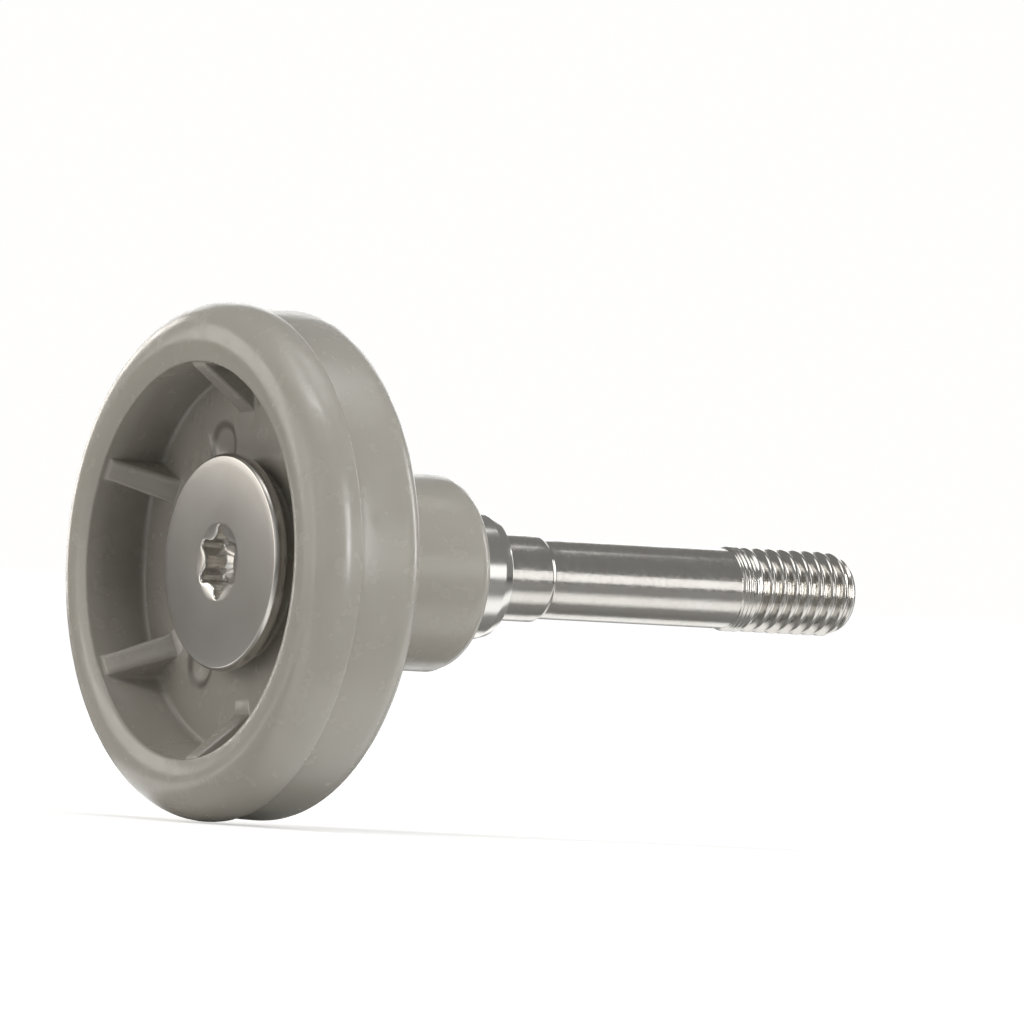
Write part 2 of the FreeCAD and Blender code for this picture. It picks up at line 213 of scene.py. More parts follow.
bead_arc = arc(BEAD, BEAD_ROUND, -120, 11, 34)
crown_arc = arc((FLANGE[0] - CROWN_ROUND, FLANGE[1]), CROWN_ROUND, -crown_turn, 0, 10)
flange_arc = arc((FLANGE[0] - FLANGE_ROUND, FLANGE[1]), FLANGE_ROUND, 0, 90, 16)
nose_arc = arc((NOSE_RADIUS - NOSE_ROUND, NOSE_START), NOSE_ROUND, 0, 90, 12)
wheel_outline = [
    (BORE, 12.0),
    (BORE, THRUST + 0.3, 0.08),
    (BORE + 0.3, THRUST, 0.08),
    (THRUST_RADIUS, THRUST, 0.18),
    (THRUST_RADIUS + 0.03, FLOOR, 0.25),
    RIB_END,
    (FLOOR_RADIUS, FLOOR, 0.45),
    RIB_START,
    (LIP[0], LIP[1], 0.10),
    *bead_arc[1:-1],
    (*CREASE_TOP, 0.13),
    (*CREASE_FLOOR, 0.05),
    *crown_arc[1:],
    *flange_arc[1:-1],
    (FLANGE[0] - FLANGE_ROUND, WHEEL_BACK),
    (14.2, WHEEL_BACK, 0.18),
    (14.05, WEB_BACK, 0.4),
    (BOSS_RADIUS, WEB_BACK, 0.8),
    (BOSS_RADIUS, NOSE_START, 0.06),
    (NOSE_RADIUS, NOSE_START, 0.05),
    *nose_arc[1:-1],
    (NOSE_RADIUS - NOSE_ROUND, BOSS_END),
    (BORE + 0.3, BOSS_END, 0.08),
    (BORE, BOSS_END - 0.3, 0.08),
    (BORE, 12.0),
]


def wheel_step(near, far):
    """Short steps in the front recess, where the gussets and pin marks are, and long ones elsewhere."""
    in_front = max(near[1], far[1]) < FLOOR + 0.01
    on_web_or_wall = 7.0 < min(near[0], far[0]) and max(near[0], far[0]) < 13.65
    return 0.16 if in_front and on_web_or_wall else 1.2


wheel_stations = divide(soften(wheel_outline), wheel_step)[:-1]
print("stations round the wheel's section:", len(wheel_stations))

# %% [markdown]
# ## A third of the wheel
# Six gussets stiffen the rim, and every second bay has the mark of an ejector pin, so a third of the wheel
# holds one of everything: two gussets and a mark. A gusset could be a block joined to the wheel, but then
# its foot would be a hard seam. Instead the recess itself rises: near a gusset each station slides from
# the wall or the floor to the gusset's sloping edge, over a rounded foot and a rounded top.

# %% One third of the wheel, point by point
# The mark's middle: its distance from the axis, and its angle past a gusset
PIN_MARK = (8.71, 20.0)
PIN_MARK_RADIUS, PIN_MARK_DEPTH = 1.55, 0.34


def along(points, share):
    """The point at a share of the length of a run of points."""
    points = np.array(points, float)
    lengths = np.concatenate([[0], np.cumsum(np.linalg.norm(np.diff(points, axis=0), axis=1))])
    return np.array([np.interp(share * lengths[-1], lengths, points[:, axis]) for axis in (0, 1)])


def rib_edge_of(stations):
    """For each station, its place on the gusset's edge, or the station itself away from the gusset."""
    first, last = sorted(min(range(len(stations)), key=lambda k: math.dist(stations[k], end))
                         for end in (RIB_END, RIB_START))
    lengths = np.cumsum([0] + [math.dist(stations[k], stations[k + 1]) for k in range(first, last)])
    edge = soften([RIB_END, (*RIB_TURN, 0.2), RIB_START], steps=6)
    edge[0], edge[-1] = stations[first], stations[last]
    raised = [np.array(station) for station in stations]
    for offset, length in enumerate(lengths):
        raised[first + offset] = along(edge, length / lengths[-1])
    return raised


def half_bay(fine):
    """Columns from a gusset's middle to the middle of the bay: how far aside, and how high on the gusset."""
    columns = [("top", 0.0, 0.0), ("top", 0.5, 0.0)]
    for turn in np.radians([90, 70, 50, 30, 10]):
        columns.append(("round", -(1 - math.cos(turn)), 1 - math.sin(turn)))
    for turn in np.radians([88, 68, 50, 33, 16, 0]):
        columns.append(("foot", 1 - math.sin(turn), 1 - math.cos(turn)))
    angles = np.arange(8.6, 29.9, 0.55) if fine else [9.6, 11.5, 14, 17, 20, 23, 26.5]
    return columns + [("bay", angle, 0.0) for angle in angles]


def place(station, edge, column):
    """Where one station lies on one column: radius, distance and the angle from the gusset in degrees."""
    kind, aside, low = column
    foot, top = np.array(station), np.array(edge)
    height = np.linalg.norm(top - foot)
    squeeze = min(1.0, height / (RIB_ROUND + RIB_FOOT))
    rise = {"top": height, "round": height - low * RIB_ROUND * squeeze,
            "foot": low * RIB_FOOT * squeeze, "bay": 0.0}[kind]
    point = foot + (top - foot) * (rise / height if height > 1e-6 else 0.0)
    if kind == "bay":
        return point, aside
    share = min(1.0, max(0.0, (point[1] - RIB_START[1]) / (FLOOR - RIB_START[1])))
    half = RIB_HALF_TOP + (RIB_HALF_FOOT - RIB_HALF_TOP) * share
    across = {"top": aside * (half - RIB_ROUND), "round": half + aside * RIB_ROUND,
              "foot": half + aside * RIB_FOOT}[kind]
    return point, math.degrees(math.asin(across / min(13.6, max(10.1, point[0]))))


def third_of_wheel():
    """The grid of points for two gussets and the bays round them."""
    plain, fine = half_bay(False), half_bay(True)
    middle = [("bay", 30.0, 0.0)]
    columns = [(0, -1, column) for column in middle + plain[::-1][:-1]]
    columns += [(0, 1, column) for column in fine + middle]
    columns += [(60, -1, column) for column in plain[::-1]]
    columns += [(60, 1, column) for column in plain[1:] + middle]
    rings = []
    for station, edge in zip(wheel_stations, rib_edge_of(wheel_stations)):
        points = []
        for base, side, column in columns:
            (radius, distance), angle = place(station, edge, column)
            angle = base + side * angle
            turn = math.radians(angle - PIN_MARK[1])
            gap = math.hypot(radius * math.cos(turn) - PIN_MARK[0], radius * math.sin(turn))
            if abs(distance - FLOOR) < 0.01 and gap < PIN_MARK_RADIUS:
                distance += PIN_MARK_DEPTH * (1 - (gap / PIN_MARK_RADIUS) ** 2) ** 0.7
            turn = math.radians(angle + RIB_PHASE)
            points.append((radius * math.cos(turn), distance + WHEEL_FRONT, radius * math.sin(turn)))
        rings.append(np.array(points) * MM)
    return mesh_of_rings("third_of_wheel", rings, closed_round=False, closed_along=True)


third = new_piece(third_of_wheel(), "third_of_wheel")
print("faces in a third of the wheel:", len(third.data.polygons))

# %% [markdown]
# ## Three thirds make the wheel
# A Geometry Nodes tree repeats the third about the axis. Copying the mesh in Python would do as well, but
# the tree keeps the count as one named input, and its instances cost nothing until they are realized. It
# ends in real geometry with its material, and the result becomes a plain mesh.

# %% Node helpers and the repeating tree


def node(tree, kind, links=None, **settings):
    """A new node with its settings and inputs; an input is a value or another node's output."""
    made = tree.nodes.new(kind)
    for key, value in settings.items():
        setattr(made, key, value)
    for key, value in (links or {}).items():
        if isinstance(value, bpy.types.NodeSocket):
            tree.links.new(value, made.inputs[key])
        else:
            made.inputs[key].default_value = value
    return made


def math_node(tree, operation, *values):
    """The output of a Math node on numbers or sockets."""
    return node(tree, "ShaderNodeMath", dict(enumerate(values)), operation=operation).outputs[0]


def geometry_tree(name, inputs):
    """An empty Geometry Nodes tree with its group input and output, and named inputs."""
    tree = bpy.data.node_groups.new(name, "GeometryNodeTree")
    tree.interface.new_socket("Geometry", in_out="INPUT", socket_type="NodeSocketGeometry")
    for label, (kind, value) in inputs.items():
        socket = tree.interface.new_socket(label, in_out="INPUT", socket_type=kind)
        if value is not None:
            socket.default_value = value
    tree.interface.new_socket("Geometry", in_out="OUTPUT", socket_type="NodeSocketGeometry")
    return tree, tree.nodes.new("NodeGroupInput"), tree.nodes.new("NodeGroupOutput")


def bake_nodes(piece, tree, values, name):
    """Runs a tree on a piece with these input values, and gives the result as a plain mesh object."""
    modifier = piece.modifiers.new(tree.name, "NODES")
    modifier.node_group = tree
    for item in tree.interface.items_tree:
        if item.in_out == "INPUT" and item.name in values:
            modifier[item.identifier] = values[item.name]
    evaluated = piece.evaluated_get(bpy.context.evaluated_depsgraph_get())
    mesh = bpy.data.meshes.new_from_object(evaluated)
    mesh.name = name
    bpy.data.objects.remove(piece)
    return new_piece(mesh, name)


def repeat_tree():
    """Repeats the incoming mesh about the Y axis and sets its material."""
    tree, start, end = geometry_tree("repeat_about_axis", {
        "Count": ("NodeSocketInt", 3),
        "Material": ("NodeSocketMaterial", None),
    })
    whole = node(tree, "GeometryNodeGeometryToInstance", {"Geometry": start.outputs["Geometry"]})
    copies = node(tree, "GeometryNodeDuplicateElements", {
        "Geometry": whole.outputs["Instances"], "Amount": start.outputs["Count"]}, domain="INSTANCE")
    step = math_node(tree, "DIVIDE", -2 * math.pi, start.outputs["Count"])
    angle = math_node(tree, "MULTIPLY", step, copies.outputs["Duplicate Index"])
    turn = node(tree, "ShaderNodeCombineXYZ", {"Y": angle})
    turned = node(tree, "GeometryNodeRotateInstances", {
        "Instances": copies.outputs["Geometry"], "Rotation": turn.outputs[0], "Local Space": False})
    real = node(tree, "GeometryNodeRealizeInstances", {"Geometry": turned.outputs["Instances"]})
    dressed = node(tree, "GeometryNodeSetMaterial", {
        "Geometry": real.outputs["Geometry"], "Material": start.outputs["Material"]})
    tree.links.new(dressed.outputs["Geometry"], end.inputs["Geometry"])
    return tree


wheel_plastic = bpy.data.materials.new("grey_wheel_plastic")
wheel = bake_nodes(third, repeat_tree(), {"Count": 3, "Material": wheel_plastic}, "wheel_moulding")
print("open edges left in the wheel:", clean(wheel.data), "faces:", len(wheel.data.polygons))
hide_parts("roller_wheel")
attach(wheel, "wheel")

# %% [markdown]
# ## The sleeve
# The sleeve is a turned tube. It carries the wheel, and its ends stand proud of the boss, so the bolt
# clamps the sleeve and not the wheel. One outline, turned once, is all it needs: the long shallow bevels
# at its ends are what the eye finds.

# %% Turn the sleeve
SLEEVE_OUTER, SLEEVE_BORE, SLEEVE_LENGTH = 4.4, 3.1, 20.0
sleeve_outline = [
    (SLEEVE_BORE, -10.0),
    (SLEEVE_BORE, -SLEEVE_LENGTH, 0.06),
    (SLEEVE_OUTER - 0.18, -SLEEVE_LENGTH, 0.05),
    (SLEEVE_OUTER, -SLEEVE_LENGTH + 0.7, 0.12),
    (SLEEVE_OUTER, -0.7, 0.12),
    (SLEEVE_OUTER - 0.18, 0.0, 0.05),
    (SLEEVE_BORE, 0.0, 0.06),
    (SLEEVE_BORE, -10.0),
]
ROUND_SEGMENTS = 144
round_angles = np.linspace(0, 2 * math.pi, ROUND_SEGMENTS, endpoint=False)
sleeve_stations = divide(soften(sleeve_outline), lambda near, far: 1.0)[:-1]
sleeve_rings = [ring(radius, distance, round_angles) for radius, distance in sleeve_stations]
sleeve = new_piece(mesh_of_rings("bearing_tube", sleeve_rings, closed_along=True), "bearing_tube")
print("open edges left in the sleeve:", clean(sleeve.data), "faces:", len(sleeve.data.polygons))
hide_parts("bearing_sleeve")
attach(sleeve, "axle")

# %% [markdown]
# ## The bolt's head and shank
# The head is a thin pressed disc with a six-lobe recess, which has a pointed floor and a thin rounded rim.
# The recess could be cut with a Boolean, but its rim would be ragged. Here its rings simply follow the
# lobes: the tip of a lobe and the flank between two lobes are arcs that touch, as on the driver bit.

# %% Six lobes and the rings of the head
HEAD_FACE, HEAD_BACK, HEAD_RADIUS = -21.2, -20.0, 7.5
BODY_RADIUS, SHANK_RADIUS = 3.0, 2.76
PILOT_END, THREAD_START, STUD_END = 4.05, 19.60, 29.15
TIP_REACH, TIP_ROUND, HALF_WAIST = 2.5, 0.42, 1.8
RECESS_DEPTH, LEAD_DEPTH = 1.8, 0.08

# Outside the recess the pressed face is a very shallow dome
FACE_START, FACE_END, FACE_CROWN = TIP_REACH + 0.26, HEAD_RADIUS - 0.28, 0.13


def lobe_radius(angles):
    """How far the six-lobe outline reaches at each angle; a lobe points up."""
    half = math.pi / 6
    tip = TIP_REACH - TIP_ROUND
    above = TIP_ROUND ** 2 - tip ** 2 - HALF_WAIST ** 2 + 2 * math.cos(half) * tip * HALF_WAIST
    below = 2 * (HALF_WAIST - math.cos(half) * tip - TIP_ROUND)
    flank = above / below
    away = HALF_WAIST + flank
    share = TIP_ROUND / (TIP_ROUND + flank)
    meet_along = tip + share * (away * math.cos(half) - tip)
    meet_angle = math.atan2(share * away * math.sin(half), meet_along)
    turn = np.abs((angles - math.pi / 2 + half) % (2 * half) - half)
    on_tip = tip * np.cos(turn) + np.sqrt(np.maximum(TIP_ROUND ** 2 - (tip * np.sin(turn)) ** 2, 0))
    other = half - turn
    on_flank = away * np.cos(other) - np.sqrt(np.maximum(flank ** 2 - (away * np.sin(other)) ** 2, 0))
    return np.where(turn < meet_angle, on_tip, on_flank)


def recess_rings(angles):
    """Rings from the middle of the recess up its wall and over its rounded rim to the face."""
    lobes = lobe_radius(angles)
    bottom = HEAD_FACE + RECESS_DEPTH
    rings = [ring(0.0, bottom + 0.75, angles), ring(0.45 * lobes, bottom + 0.42, angles)]
    for share, down in ((0.86, 0.02), (0.93, -0.03), (0.96, -0.12)):
        rings.append(ring(share * lobes, bottom + down, angles))
    slope = LEAD_DEPTH / (TIP_REACH - HALF_WAIST)
    edge = HEAD_FACE + slope * (TIP_REACH - lobes) + 0.02
    for share in (0.35, 0.7, 0.9):
        rings.append(ring(lobes * (0.96 + 0.04 * share), bottom + (edge - bottom) * share, angles))
    for outward, down in ((0.0, 0.12), (0.03, 0.035), (0.09, 0.0)):
        rings.append(ring(lobes + outward, edge + down, angles))
    for share in (0.35, 0.7):
        radius = lobes + 0.09 + (TIP_REACH + 0.11 - lobes) * share
        rings.append(ring(radius, HEAD_FACE + slope * np.maximum(TIP_REACH + 0.1 - radius, 0.0), angles))
    return rings + [ring(radius, HEAD_FACE, angles) for radius in (FACE_START - 0.04, FACE_START)]


face_line = [(FACE_START + share * (FACE_END - FACE_START), HEAD_FACE + FACE_CROWN * share ** 2)
             for share in np.linspace(0, 1, 9)]
head_outline = [
    *face_line[:-1],
    (*face_line[-1], 0.05),
    (HEAD_RADIUS - 0.11, HEAD_FACE + FACE_CROWN + 0.17, 0.12),
    (HEAD_RADIUS, HEAD_FACE + 0.62, 0.25),
    (HEAD_RADIUS - 0.06, HEAD_BACK - 0.25, 0.16),
    (HEAD_RADIUS - 0.26, HEAD_BACK, 0.14),
    (BODY_RADIUS, HEAD_BACK, 0.15),
    (BODY_RADIUS, PILOT_END, 0.12),
    (SHANK_RADIUS, PILOT_END + 0.25, 0.12),
    (SHANK_RADIUS, THREAD_START - 0.04),
    (SHANK_RADIUS, THREAD_START),
]
head_stations = divide(soften(head_outline), lambda near, far: 1.0)
bolt_rings = recess_rings(round_angles)
bolt_rings += [ring(radius, distance, round_angles) for radius, distance in head_stations[1:]]
print("rings in the head and shank:", len(bolt_rings))

# %% [markdown]
# ## The rolled thread
# The stud's end carries an M6 thread, rolled between dies: the crests are round, the roots are round, and
# the die leaves a few fine rings before the first full turn. A tube of rings can't show a slanting crest
# cleanly, so a Geometry Nodes tree shears a grid by one pitch for each turn. Every crest then follows a
# row of points, and the two ends of each row meet on the row of the next turn.

# %% The thread tree
PITCH, THREAD_CREST, THREAD_ROOT = 1.0, 2.95, 2.40
ROWS_PER_PITCH = 20
END_RADIUS, END_BEVEL, END_ROUNDING = 2.25, 1.35, 0.62
DIE_STEP, DIE_RUN, DIE_FADE = 0.12, 0.80, 1.1
DIE_RING_GAP, DIE_RING_HEIGHT, DIE_BELOW_CREST = 0.34, 0.045, 0.07


def clamp01(tree, value):
    """A value held between 0 and 1."""
    return node(tree, "ShaderNodeClamp", {"Value": value}).outputs[0]


def thread_tree():
    """Turns a flat grid into a threaded end. The grid holds the turn in X and the distance in Y."""
    tree, start, end = geometry_tree("rolled_thread", {
        "Start": ("NodeSocketFloat", 0.0), "End": ("NodeSocketFloat", 0.0), "Pitch": ("NodeSocketFloat", 0.0),
        "Crest Radius": ("NodeSocketFloat", 0.0), "Root Radius": ("NodeSocketFloat", 0.0),
        "Shank Radius": ("NodeSocketFloat", 0.0), "End Radius": ("NodeSocketFloat", 0.0),
        "End Bevel": ("NodeSocketFloat", 0.0), "Material": ("NodeSocketMaterial", None),
    })
    given = start.outputs
    place_of = node(tree, "GeometryNodeInputPosition")
    split = node(tree, "ShaderNodeSeparateXYZ", {0: place_of.outputs[0]})
    share, row = split.outputs["X"], split.outputs["Y"]
    angle = math_node(tree, "MULTIPLY", share, 2 * math.pi)
    sheared = math_node(tree, "MULTIPLY_ADD", share, given["Pitch"], row)
    distance = math_node(tree, "MINIMUM", math_node(tree, "MAXIMUM", sheared, given["Start"]), given["End"])
    into = math_node(tree, "SUBTRACT", distance, given["Start"])

    # One turn of the profile: 0 in the root, 1 on the crest, with both turned round
    phase = math_node(tree, "FRACT", math_node(tree, "DIVIDE", row, given["Pitch"]))
    away = math_node(tree, "ABSOLUTE", math_node(tree, "MULTIPLY_ADD", phase, 2.0, -1.0))
    flank = clamp01(tree, math_node(tree, "DIVIDE", math_node(tree, "SUBTRACT", away, 0.10), 0.74))
    profile = math_node(tree, "SMOOTH_MAX", math_node(tree, "SMOOTH_MIN", flank, 0.94, 0.16), 0.05, 0.14)
    depth = math_node(tree, "SUBTRACT", given["Crest Radius"], given["Root Radius"])
    threaded = math_node(tree, "MULTIPLY_ADD", profile, depth, given["Root Radius"])

    # The first two pitches: a step up from the shank, fine die rings, then the full thread
    into_thread = math_node(tree, "SUBTRACT", into, DIE_RUN * MM)
    fade = clamp01(tree, math_node(tree, "DIVIDE", into_thread, DIE_FADE * MM))
    step_up = clamp01(tree, math_node(tree, "DIVIDE", into, DIE_STEP * MM))
    collar = math_node(tree, "SUBTRACT", given["Crest Radius"], DIE_BELOW_CREST * MM)
    rise = math_node(tree, "SUBTRACT", collar, given["Shank Radius"])
    ripple = math_node(tree, "COSINE", math_node(tree, "MULTIPLY", into, 2 * math.pi / (DIE_RING_GAP * MM)))
    ripple = math_node(tree, "MULTIPLY", ripple, step_up)
    ripple = math_node(tree, "MULTIPLY", ripple, -DIE_RING_HEIGHT * MM)
    blank = math_node(tree, "ADD", math_node(tree, "MULTIPLY_ADD", step_up, rise, given["Shank Radius"]), ripple)
    mixed = math_node(tree, "ADD", math_node(tree, "MULTIPLY", threaded, fade),
                      math_node(tree, "MULTIPLY", blank, math_node(tree, "SUBTRACT", 1.0, fade)))

    # The rounded end: no point lies outside it
    left = math_node(tree, "DIVIDE", math_node(tree, "SUBTRACT", given["End"], distance), given["End Bevel"])
    bevel_rise = math_node(tree, "SUBTRACT", given["Crest Radius"], given["End Radius"])
    rounding = math_node(tree, "POWER", left, END_ROUNDING)
    bevel = math_node(tree, "MULTIPLY_ADD", rounding, bevel_rise, given["End Radius"])
    radius = math_node(tree, "MINIMUM", mixed, bevel)
    at_end = math_node(tree, "COMPARE", distance, given["End"], 0.0001 * MM)
    radius = math_node(tree, "ADD", math_node(tree, "MULTIPLY", at_end, given["End Radius"]),
                       math_node(tree, "MULTIPLY", radius, math_node(tree, "SUBTRACT", 1.0, at_end)))

    spot = node(tree, "ShaderNodeCombineXYZ", {
        "X": math_node(tree, "MULTIPLY", radius, math_node(tree, "COSINE", angle)),
        "Y": distance,
        "Z": math_node(tree, "MULTIPLY", radius, math_node(tree, "SINE", angle))})
    shaped = node(tree, "GeometryNodeSetPosition", {
        "Geometry": given["Geometry"], "Position": spot.outputs[0]})
    merged = node(tree, "GeometryNodeMergeByDistance", {
        "Geometry": shaped.outputs["Geometry"], "Distance": 0.0005 * MM})
    real = node(tree, "GeometryNodeRealizeInstances", {"Geometry": merged.outputs["Geometry"]})
    dressed = node(tree, "GeometryNodeSetMaterial", {
        "Geometry": real.outputs["Geometry"], "Material": given["Material"]})
    tree.links.new(dressed.outputs["Geometry"], end.inputs["Geometry"])
    return tree


def flat_grid():
    """The grid that the thread tree bends: one turn wide, and the thread's length plus a turn long."""
    rows = int(round((STUD_END - THREAD_START) / PITCH * ROWS_PER_PITCH)) + ROWS_PER_PITCH
    first = THREAD_START - PITCH
    rings = []
    for row in range(rows + 1):
        distance = first + row * PITCH / ROWS_PER_PITCH
        shares = np.linspace(0, 1, ROUND_SEGMENTS + 1)
        rings.append(np.stack([shares, np.full_like(shares, distance * MM), np.zeros_like(shares)], axis=1))
    return mesh_of_rings("thread_grid", rings, closed_round=False)


bolt_steel = bpy.data.materials.new("bolt_steel_satin")
thread = bake_nodes(new_piece(flat_grid(), "thread_grid"), thread_tree(), {
    "Start": THREAD_START * MM, "End": STUD_END * MM, "Pitch": PITCH * MM,
    "Crest Radius": THREAD_CREST * MM, "Root Radius": THREAD_ROOT * MM, "Shank Radius": SHANK_RADIUS * MM,
    "End Radius": END_RADIUS * MM, "End Bevel": END_BEVEL * MM, "Material": bolt_steel,
}, "thread")
print("faces in the thread:", len(thread.data.polygons))

# %% [markdown]
# ## One bolt
# Head, shank and thread are one piece of steel, so they become one mesh. The thread's first ring lies on
# the shank's last, and a flat tip closes the end.

# %% Join the bolt
tip_rings = [ring(radius, distance, round_angles) for radius, distance in (
    (END_RADIUS, STUD_END), (END_RADIUS - 0.12, STUD_END), (1.6, STUD_END), (0.0, STUD_END))]
bolt_mesh = mesh_of_rings("bolt_body", bolt_rings)
tip_mesh = mesh_of_rings("bolt_tip", tip_rings)
joined = bmesh.new()
for part in (bolt_mesh, thread.data, tip_mesh):
    joined.from_mesh(part)
bolt = new_piece(bpy.data.meshes.new("stud_bolt"), "stud_bolt")
joined.to_mesh(bolt.data)
joined.free()
bpy.data.objects.remove(thread)
print("open edges left in the bolt:", clean(bolt.data), "faces:", len(bolt.data.polygons))
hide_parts("shoulder_bolt")
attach(bolt, "axle")

# %% [markdown]
# ## The grey plastic
# The wheel is a hard plastic with a soft gloss. It has a faint grain, its surface waves a little, its tone
# drifts slightly, and it has fine scratches in patches. The recess has painted shade, most of all high on
# its wall, and a ring of painted shade lies round each pin mark. All of that is procedural, on the object's
# own coordinates, so the pattern stays with the wheel as it spins.

# %% Shader helpers and the plastic


def shader_tree(material, base_color, **sockets):
    """Starts a node material: gives its tree, its Principled shader and its object coordinates."""
    material.use_nodes = True
    tree = material.node_tree
    shader = tree.nodes["Principled BSDF"]
    shader.inputs["Base Color"].default_value = (*base_color, 1.0)
    for label, value in sockets.items():
        shader.inputs[label.replace("_", " ")].default_value = value
    return tree, shader, node(tree, "ShaderNodeTexCoord").outputs["Object"]


def noise(tree, place_of, size_mm, detail=2.0, roughness=0.5, stretch=(1, 1, 1)):
    """Noise with features of about a size in millimetres, stretched along the axes."""
    scaled = node(tree, "ShaderNodeMapping", {
        "Vector": place_of, "Scale": tuple(1 / (size_mm * MM * along_axis) for along_axis in stretch)})
    return node(tree, "ShaderNodeTexNoise", {
        "Vector": scaled.outputs[0], "Scale": 1.0, "Detail": detail, "Roughness": roughness}).outputs["Fac"]


def ramp(tree, value, low, high, from_low=0.0, from_high=1.0):
    """A value carried from one range to another, and held at its ends."""
    return node(tree, "ShaderNodeMapRange", {
        "Value": value, "From Min": from_low, "From Max": from_high, "To Min": low, "To Max": high}).outputs[0]


def bump(tree, height, distance_mm, below=None):
    """A bump of a height in millimetres, on top of another bump if there is one."""
    links = {"Height": height, "Strength": 1.0, "Distance": distance_mm * MM}
    if below is not None:
        links["Normal"] = below
    return node(tree, "ShaderNodeBump", links).outputs["Normal"]


def tint(tree, share, first, second):
    """A colour between two, by a share; the first may also be another node's output."""
    mixer = node(tree, "ShaderNodeMix", {"Factor": share}, data_type="RGBA")
    if isinstance(first, bpy.types.NodeSocket):
        tree.links.new(first, mixer.inputs["A"])
    else:
        mixer.inputs["A"].default_value = (*first, 1.0)
    mixer.inputs["B"].default_value = (*second, 1.0)
    return mixer.outputs["Result"]


def multiply(tree, first, *others):
    """The product of several values."""
    for other in others:
        first = math_node(tree, "MULTIPLY", first, other)
    return first


def length(tree, first, second):
    """The length of a flat arrow from its two parts."""
    squares = [math_node(tree, "POWER", part, 2.0) for part in (first, second)]
    return math_node(tree, "SQRT", math_node(tree, "ADD", *squares))


PLASTIC, PALE_PLASTIC = (0.375, 0.356, 0.312), (0.425, 0.406, 0.362)
# Painted shade: the colour of the recess, and of the ring round each pin mark
PAINTED_RECESS_SHADE, PAINTED_RIM_SHADE = (0.225, 0.21, 0.185), (0.10, 0.088, 0.072)

tree, shader, here = shader_tree(wheel_plastic, (0.40, 0.385, 0.335), IOR=1.50)
spot = node(tree, "ShaderNodeSeparateXYZ", {0: here}).outputs
out = length(tree, spot["X"], spot["Z"])
plain_tone = tint(tree, noise(tree, here, 9.0, detail=3.0), PLASTIC, PALE_PLASTIC)

# The recess: inside the lip, behind the front and before the web's back
within = ramp(tree, out, 1.0, 0.0, 13.3 * MM, 13.75 * MM)
behind = ramp(tree, spot["Y"], 0.0, 1.0, (WHEEL_FRONT + 0.5) * MM, (WHEEL_FRONT + 1.8) * MM)
web_face = WHEEL_FRONT + FLOOR
before_web = ramp(tree, spot["Y"], 1.0, 0.0, (web_face + 0.8) * MM, (web_face + 1.2) * MM)
in_recess = multiply(tree, within, behind, before_web)

# The painted shade in the recess is patchy, and fades towards the side of the wheel that is low at rest
patchy = ramp(tree, noise(tree, here, 4.0, detail=3.0), 0.8, 1.0, 0.3, 0.7)
on_wall = ramp(tree, out, 0.0, 1.0, 12.7 * MM, 13.2 * MM)
wall_share = ramp(tree, spot["Z"], -0.3, 0.35, -9 * MM, -2 * MM)
floor_share = ramp(tree, spot["Z"], 0.15, 0.66, -11.5 * MM, -5 * MM)
strength = math_node(tree, "MULTIPLY_ADD", on_wall, wall_share, floor_share)
recess_shaded = tint(tree, multiply(tree, in_recess, patchy, strength), plain_tone, PAINTED_RECESS_SHADE)

# Painted shade keeps to the rim of each pin mark, and there are three of them round the web
around = math_node(tree, "ARCTAN2", spot["Z"], spot["X"])
past_mark = math_node(tree, "SUBTRACT", around, math.radians(PIN_MARK[1] + RIB_PHASE))
from_mark = math_node(tree, "WRAP", past_mark, math.pi / 3, -math.pi / 3)
ahead = math_node(tree, "MULTIPLY_ADD", math_node(tree, "COSINE", from_mark), out, -PIN_MARK[0] * MM)
beside = multiply(tree, math_node(tree, "SINE", from_mark), out)
off_mark = math_node(tree, "SUBTRACT", length(tree, ahead, beside), (PIN_MARK_RADIUS - 0.12) * MM)
off_rim = math_node(tree, "ABSOLUTE", off_mark)
rim_shade = multiply(tree, ramp(tree, off_rim, 0.75, 0.0, 0.10 * MM, 0.42 * MM), in_recess)
tree.links.new(tint(tree, rim_shade, recess_shaded, PAINTED_RIM_SHADE), shader.inputs["Base Color"])

gloss = ramp(tree, noise(tree, here, 1.4, detail=3.0), 0.13, 0.33, 0.25, 0.75)
tree.links.new(gloss, shader.inputs["Roughness"])
waves = bump(tree, noise(tree, here, 2.0, detail=2.0), 0.016)
grain = bump(tree, noise(tree, here, 0.20, detail=2.0), 0.003, waves)
worn = ramp(tree, noise(tree, here, 3.0, detail=2.0), 0.0, 1.0, 0.50, 0.62)
lines = noise(tree, here, 0.11, detail=1.0, stretch=(1, 14, 1))
scratches = bump(tree, multiply(tree, lines, worn), 0.006, grain)
tree.links.new(scratches, shader.inputs["Normal"])
print("plastic made")

# %% [markdown]
# ## Two steels
# The bolt has a satin head, and a smoother shank with faint pits and drawn streaks. The sleeve is smooth,
# with fine turning rings. Metal takes its look from what it mirrors, so the detail goes into roughness and
# bump.

# %% The steels
BROWN_STEEL, GREY_STEEL = (0.525, 0.495, 0.455), (0.60, 0.59, 0.565)
HEAD_ROUGHNESS = 0.27

